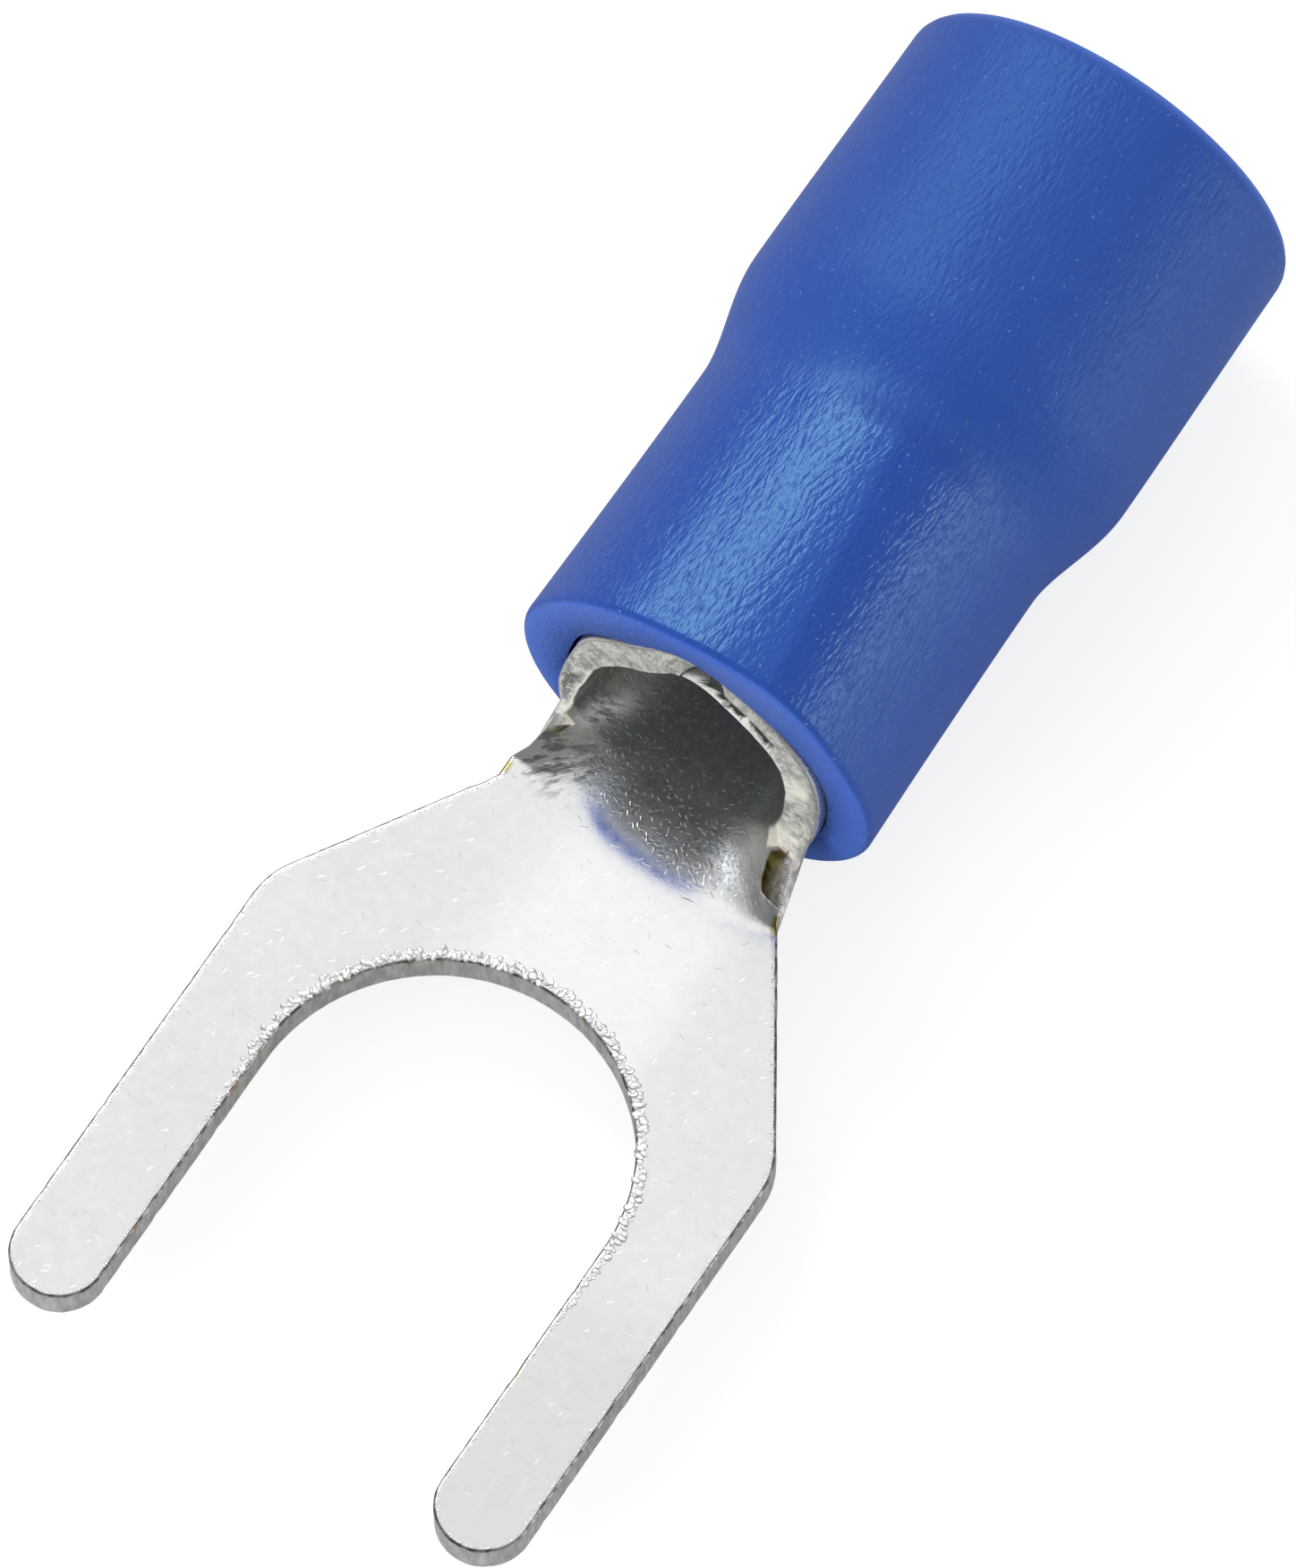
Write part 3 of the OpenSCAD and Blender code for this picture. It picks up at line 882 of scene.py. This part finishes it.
cut, add = new_material("sheared_edge")
place = stored(add, "blank", "Vector")
face = stored(add, "mouth_face")
tint = stored(add, "face_tint")
streak = clouds(add, vector_maths(add, "MULTIPLY", place, (1.0, 1.0, 0.22)), 10.0, 3.0, 0.6)
crystal = clouds(add, place, 7.0, 4.0, 0.7)
pits = place_group(add, spots_group, Place=place, Cells=9.0, Share=0.35, Size=0.35)["Spot"]
bumps = place_group(add, spots_group, Place=place, Cells=6.0, Share=0.45, Size=0.30)["Spot"]
depth = add("ShaderNodeSeparateXYZ", {0: place}).outputs[2]
depth = total(add, depth, (maths(add, "SUBTRACT", crystal, 0.5), 0.16))
over_gap = remap(add, depth, 0.46, 0.49)
in_gap = clamped(add, times(add, maths(add, "SUBTRACT", depth, stored(add, "gap_floor")), 30.0))
# Painted shadow in the gap of the cut face.
gap_shade = times(add, in_gap, maths(add, "SUBTRACT", 1.0, over_gap), face)
painted_inner_glint = times(add, stored(add, "inner_edge_glint"), over_gap)
lit_cream_and_chips = maths(add, "MAXIMUM", tint, 0.0)
pitted = maths(add, "MAXIMUM", times(add, tint, -1.0), 0.0)
# The sheared wall takes part of the same painted shade.
wall_tone = clamped(add, total(add, remap(add, streak, 0.30, 0.70), (stored(add, "shade"), -0.3)))
face_colour = layered(
    add,
    blend(add, remap(add, crystal, 0.38, 0.62), face_dark, face_pale_and_glint),
    (times(add, bumps, 0.8), face_pale_and_glint),
    (times(add, lit_cream_and_chips, remap(add, streak, 0.35, 0.5)), face_cream_and_light),
    (times(add, pitted, remap(add, crystal, 0.60, 0.48)), face_pit),
    (painted_inner_glint, face_pale_and_glint),
)
colour = layered(
    add,
    blend(add, wall_tone, wall_dark, wall_light),
    (face, face_colour),
    (times(add, pits, 0.3), wall_dark),
    (stored(add, "bare"), blend(add, remap(add, streak, 0.4, 0.6), brass_dull, brass)),
    (gap_shade, gap_painted_shade),
)
matt_share = total(add, 0.20, (maths(add, "MAXIMUM", lit_cream_and_chips, painted_inner_glint), 0.25))
metallic = total(add, 0.78, (times(add, matt_share, face), -1.0))
height = total(add, 0.0, (streak, 0.006), (crystal, 0.018), (times(add, bumps, face), 0.008), (pits, -0.005))
end_material(add, colour, metallic, 0.36, height)

terminal.data.materials.append(tin)
terminal.data.materials.append(cut)
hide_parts("fork_terminal")
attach(terminal, "root")

# The press leaves a burr along its cuts: a crumbly band of bright flakes, wide and coarse along the slot,
# sparse along the outer edges, and beads on the torn step beside the neck and on the rim of the mouth.
burr_spacing = 0.042
burr_rows = 2
flatness = 0.16
slot_band = 0.11
outer_band = 0.02
rim_band = 0.05
slot_grain = 0.056
outer_grain = 0.017
bead = 0.030
tongue_clear = 0.046
tear_clear = 0.02
tear_points = 12
rim_points = 60
rim_from_x = 2.35
rim_to_x = 5.45
grain_dark = (0.82, 0.82, 0.80, 1)
grain_light = (0.98, 0.98, 0.97, 1)
burr_paths = []


def burr_path(places, into, band, grain, clear):
    """Adds points with the way into the sheet, band width, grain size and distance from the edge."""
    number = len(places)
    into = np.broadcast_to(into, (number, 3))
    burr_paths.append([places, into] + [np.broadcast_to(value, number) for value in (band, grain, clear)])


upper_edge = outline[:, 1] < neck_y - 0.02
neck_ends = np.flatnonzero(np.diff(upper_edge.astype(int)))
tongue = np.concatenate([np.arange(neck_ends[-1] + 1, count), np.arange(0, neck_ends[0] + 1)])
wide = (beside_slot(outline[:, 0], outline[:, 1], 0.01) * rise(outline[:, 1], -1.9, 2.2))[tongue]
burr_path(
    np.column_stack([edge_line, np.full(count, sheet_t)])[tongue],
    np.column_stack([inward, np.zeros(count)])[tongue],
    outer_band + (slot_band - outer_band) * wide,
    outer_grain + (slot_grain - outer_grain) * wide,
    tongue_clear,
)
tear_y = np.linspace(tear_low_y + 0.01, tear_high_y, tear_points)
tear_line = fold(np.full(tear_points, neck_half), tear_y, np.full(tear_points, tear_floor + 0.01))
burr_path(tear_line, (-1.0, 0.0, 0.0), 0.0, bead, tear_clear)
rim_x = np.linspace(rim_from_x, rim_to_x, rim_points)
rim_angle = np.radians(rim_x * degrees_per_mm)
rim_line = fold(rim_x, np.full(rim_points, mouth_y), np.full(rim_points, 0.02))
rim_into = np.column_stack([-np.sin(rim_angle), np.zeros(rim_points), np.cos(rim_angle)])
burr_path(rim_line, rim_into, rim_band, 0.8 * bead, 0.0)

joined_paths = [np.concatenate(part) for part in zip(*burr_paths)]
path_points, path_into, path_band, path_grain, path_clear = joined_paths
starts = np.cumsum([0] + [len(path[0]) for path in burr_paths])
burr_edges = [(i, i + 1) for a, b in zip(starts, starts[1:]) for i in range(a, b - 1)]
burr_mesh = bpy.data.meshes.new("edge_burr_path")
burr_mesh.from_pydata([tuple(point) for point in path_points * MM], burr_edges, [])
burr_source = bpy.data.objects.new("edge_burr_path", burr_mesh)
scene.collection.objects.link(burr_source)
set_vectors(burr_source, "inward", path_into)
set_floats(burr_source, "band", path_band * MM)
set_floats(burr_source, "grain", path_grain * MM)
set_floats(burr_source, "clear", path_clear * MM)


def object_place(add):
    """Object coordinates in millimetres."""
    place = add("ShaderNodeTexCoord").outputs["Object"]
    return add("ShaderNodeVectorMath", {0: place, "Scale": 1 / MM}, operation="SCALE").outputs[0]


grains, add = new_material("burr_grains")
place = object_place(add)
mottle = clouds(add, place, 9.0, 2.0)
pits = place_group(add, spots_group, Place=place, Cells=14.0, Share=0.3, Size=0.35)["Spot"]
colour = blend(add, remap(add, mottle, 0.35, 0.6), grain_dark, grain_light)
colour = blend(add, times(add, pits, 0.3), colour, tin_line)
end_material(add, colour, 1.0, 0.52, total(add, 0.0, (mottle, 0.01), (pits, -0.004)))

# Grains are strewn along each path: flattened balls, pushed into the sheet, turned and sized by chance.
burr_tree = bpy.data.node_groups.new("edge_burr", "GeometryNodeTree")
burr_inputs = (
    ("Spacing", "NodeSocketFloat", burr_spacing * MM),
    ("Rows", "NodeSocketInt", burr_rows),
    ("Flatness", "NodeSocketFloat", flatness),
    ("Seed", "NodeSocketInt", 4),
)
burr_tree.interface.new_socket("Geometry", in_out="INPUT", socket_type="NodeSocketGeometry")
socket_of = {}
for label, kind, value in burr_inputs:
    socket_of[label] = burr_tree.interface.new_socket(label, in_out="INPUT", socket_type=kind).identifier
burr_tree.interface.new_socket("Geometry", in_out="OUTPUT", socket_type="NodeSocketGeometry")
add = node_tree(burr_tree)
given = add("NodeGroupInput").outputs
grain_index = add("GeometryNodeInputIndex").outputs[0]


def kept(name, kind="FLOAT"):
    """A value that the path's points keep."""
    return add("GeometryNodeInputNamedAttribute", {"Name": name}, data_type=kind).outputs[0]


def chance(low, high, extra):
    """A random number for each grain. Extra keeps one use from repeating another."""
    seed = maths(add, "ADD", given["Seed"], float(extra))
    made = add("FunctionNodeRandomValue", {"ID": grain_index, "Seed": seed}, data_type="FLOAT")
    made.inputs[2].default_value = low
    made.inputs[3].default_value = high
    return made.outputs[1]


curve = add("GeometryNodeMeshToCurve", {"Mesh": given["Geometry"]}).outputs[0]
even = {"Curve": curve, "Length": given["Spacing"]}
even = add("GeometryNodeResampleCurve", even, mode="LENGTH").outputs[0]
dots = add("GeometryNodeCurveToPoints", {"Curve": even}, mode="EVALUATED").outputs[0]
many = {"Geometry": dots, "Amount": given["Rows"]}
many = add("GeometryNodeDuplicateElements", many, domain="POINT").outputs[0]
step_in = total(add, kept("clear"), (kept("band"), chance(0.0, 1.0, 1)))
into = kept("inward", "FLOAT_VECTOR")
step_in = add("ShaderNodeVectorMath", {0: into, "Scale": step_in}, operation="SCALE").outputs[0]
moved = add("GeometryNodeSetPosition", {"Geometry": many, "Offset": step_in}).outputs[0]
ball = add("GeometryNodeMeshUVSphere", {"Segments": 8, "Rings": 5, "Radius": 1.0}).outputs[0]
ball = add("GeometryNodeSetShadeSmooth", {"Geometry": ball}).outputs[0]
aim = add("FunctionNodeAlignRotationToVector", {"Vector": into}, axis="X").outputs[0]
tilts = {0: chance(-0.25, 0.25, 2), 1: chance(-0.2, 0.2, 3), 2: chance(-0.7, 0.7, 4)}
tilt = add("ShaderNodeCombineXYZ", tilts).outputs[0]
turned = {"Rotation": aim, "Rotate By": tilt}
turned = add("FunctionNodeRotateRotation", turned, rotation_space="LOCAL").outputs[0]
girth = times(add, kept("grain"), chance(0.3, 1.15, 5))
shape = {0: chance(0.9, 1.7, 6), 1: chance(0.7, 1.1, 7), 2: given["Flatness"]}
shape = add("ShaderNodeCombineXYZ", shape).outputs[0]
shape = add("ShaderNodeVectorMath", {0: shape, "Scale": girth}, operation="SCALE").outputs[0]
placed = {"Points": moved, "Instance": ball, "Rotation": turned, "Scale": shape}
placed = add("GeometryNodeInstanceOnPoints", placed).outputs[0]
solid = add("GeometryNodeRealizeInstances", {"Geometry": placed}).outputs[0]
painted = add("GeometryNodeSetMaterial", {"Geometry": solid, "Material": grains}).outputs[0]
add("NodeGroupOutput", {"Geometry": painted})
modifier = burr_source.modifiers.new("edge_burr", "NODES")
modifier.node_group = burr_tree
for label, kind, value in burr_inputs:
    modifier[socket_of[label]] = value
evaluated = burr_source.evaluated_get(bpy.context.evaluated_depsgraph_get())
burr = bpy.data.objects.new("edge_burr", bpy.data.meshes.new_from_object(evaluated))
scene.collection.objects.link(burr)
bpy.data.objects.remove(burr_source)
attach(burr, "root")

# The sleeve is a moulded tube of soft blue vinyl, pushed over the barrel and gripping it. Its rear skirt is
# wider, for the wire's insulation, with a step outside and a funnel inside. Over the mouth's raised roof
# the soft wall stands out in a ridge.
fit_gap = 0.02
grip_r = barrel_r + fit_gap
body_wall = 0.59
body_r = grip_r + body_wall
skirt_bore_r = mounts["insulation_entry"]["dims"]["r_mm"]
skirt_r = vinyl_high.z - axis_z
sleeve_y = vinyl_low.y
sleeve_end_y = vinyl_high.y
front_swell = 0.08
skirt_taper = 0.04
step_y = sleeve_y + 4.2
step_end_y = step_y + 1.75
front_edge_r = 0.12
rear_edge_r = 0.3
entry_bevel = 0.17
funnel_len = 0.9
funnel_y = step_end_y + 0.25 - funnel_len
ridge_height = 0.27
ridge_climb = 34
ridge_drop = 42
ridge_flat = 1.5
ridge_angle = 22
ridge_angle_y = 6.8
ridge_drift = 2.7
ridge_end_y = 10.2
ridge_fade = 1.0
stretch_half = 85
rear_rim_len = 0.26
front_rim_len = 0.035
around = 300
end_points = 7
side_points = 150
funnel_points = 9
grip_points = 16
vinyl_blue = (0.014, 0.052, 0.300, 1)
vinyl_light = (0.019, 0.064, 0.335, 1)
vinyl_speck = (0.22, 0.33, 0.62, 1)
vinyl_rim_light = (0.050, 0.130, 0.56, 1)
vinyl_shine = (0.38, 0.82, 1.0, 1)


def sleeve_r(y):
    front = body_r + front_swell * np.clip(1 - (y - sleeve_y) / (step_y - sleeve_y), 0, 1) ** 1.5
    step = body_r + (skirt_r - body_r) * rise(y, step_y, step_end_y - step_y)
    skirt = skirt_r - skirt_taper * rise(y, step_end_y, sleeve_end_y - step_end_y)
    return np.where(y < step_y, front, np.where(y < step_end_y, step, skirt))


angles = np.linspace(-180, 180, around, endpoint=False)
from_top = 180 - angles % 360


def ring_at(y, r, lift=0.0):
    """A ring of points round the sleeve's axis, of one radius or of a radius for each point."""
    turned = np.radians(angles)
    return np.stack([r * np.sin(turned), np.full(around, y), axis_z + lift - r * np.cos(turned)], 1)


end_turn = np.radians(np.linspace(0, 90, end_points))
outer_y = np.concatenate([
    sleeve_y + front_edge_r * (1 - np.cos(end_turn)),
    np.linspace(sleeve_y + front_edge_r, sleeve_end_y - rear_edge_r, side_points)[1:-1],
    sleeve_end_y - rear_edge_r * (1 - np.sin(end_turn)),
])
outer_inset = np.zeros(len(outer_y))
outer_inset[:end_points] = front_edge_r * (1 - np.sin(end_turn))
outer_inset[-end_points:] = rear_edge_r * (1 - np.cos(end_turn))
rings = []
stretched = []
for y, inset in zip(outer_y, outer_inset):
    fade = 1 - rise(y, ridge_end_y, ridge_fade)
    past_ridge = from_top - ridge_angle + (y - ridge_angle_y) * ridge_drift
    climb = np.clip((past_ridge + ridge_climb) / ridge_climb, 0, 1) ** 1.3
    drop = 1 - rise(past_ridge, -ridge_flat, ridge_drop)
    stretched.extend(fade * hump(from_top, 0, stretch_half))
    rings.append(ring_at(y, float(sleeve_r(y)) - inset + ridge_height * climb * drop * fade))
rings.append(ring_at(sleeve_end_y, skirt_bore_r + entry_bevel))
rings.append(ring_at(sleeve_end_y - entry_bevel, skirt_bore_r))
for y in np.linspace(funnel_y + funnel_len, funnel_y, funnel_points):
    rings.append(ring_at(y, grip_r + (skirt_bore_r - grip_r) * rise(y, funnel_y, funnel_len)))
for y in np.linspace(mouth_y + mouth_blend, sleeve_y, grip_points):
    pressed = float(1 - rise(y, mouth_y, mouth_blend))
    hugging = shell_r(angles, pressed, corner=0.8 * corner_flat)
    rings.append(ring_at(y, hugging + fit_gap, pressed * mouth_lift))
ring_count = len(rings)
ring_points = np.concatenate(rings)
sleeve_faces = []
for j in range(ring_count):
    here, there = j * around, (j + 1) % ring_count * around
    for i in range(around):
        after = (i + 1) % around
        sleeve_faces.append((here + i, there + i, there + after, here + after))
sleeve = mesh_object("vinyl_sleeve", ring_points * MM, sleeve_faces)

ring_y = ring_points[:, 1]
outside = np.arange(len(ring_y)) < len(stretched)
set_floats(sleeve, "stretched", stretched + [0.0] * (len(ring_y) - len(stretched)))
# The rims are painted lighter blue: a painted highlight on the rear rim and painted light on the front ring.
rear_rim_light = 0.8 * rise(ring_y, sleeve_end_y - rear_rim_len, 0.2) * outside
front_rim_light = 0.9 * fall(ring_y, sleeve_y + front_rim_len, 0.03)
set_floats(sleeve, "rim", np.maximum(rear_rim_light, front_rim_light))
skin_x = np.tile(np.radians(angles % 360) * skirt_r, ring_count)
skin_y = ring_y.copy()
skin_y[-grip_points * around:] = 2 * sleeve_y - body_wall - ring_y[-grip_points * around:]
set_vectors(sleeve, "skin", np.column_stack([skin_x, skin_y, np.zeros(len(ring_y))]))

vinyl, add = new_material("blue_vinyl")
place = object_place(add)
mottle = clouds(add, place, 1.5, 4.0)
fine = clouds(add, place, 16.0, 2.0)
creases = [
    place_group(add, lines_group, Place=place, Turn=turn, Along=2.2, Across=9.0, Sharpness=1.3)["Lines"]
    for turn in (1.37, 1.78)
]
skin = stored(add, "skin", "Vector")
specks = place_group(
    add, strokes_group, Place=skin, Cells=5.0, Share=0.50, Turn=0.0, Swing=6.3, Length=0.034, Width=0.014
)
specks = times(add, specks["Stroke"], specks["Chance"], specks["Chance"])
stretched = stored(add, "stretched")
colour = layered(
    add,
    blend(add, mottle, vinyl_blue, vinyl_light),
    (stored(add, "rim"), vinyl_rim_light),
    (times(add, specks, 0.6), vinyl_speck),
)
crease_height = total(add, 0.0125, (stretched, -0.003))
creases = [(crease, crease_height) for crease in creases]
height = total(add, 0.0, *creases, (fine, 0.0025), (specks, 0.006))
rough = total(add, 0.49, (stretched, -0.23))
end_material(add, colour, 0.0, rough, height, {"IOR": 1.54, "Specular Tint": vinyl_shine})
sleeve.data.materials.append(vinyl)
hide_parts("insulating_sleeve")
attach(sleeve, "root")
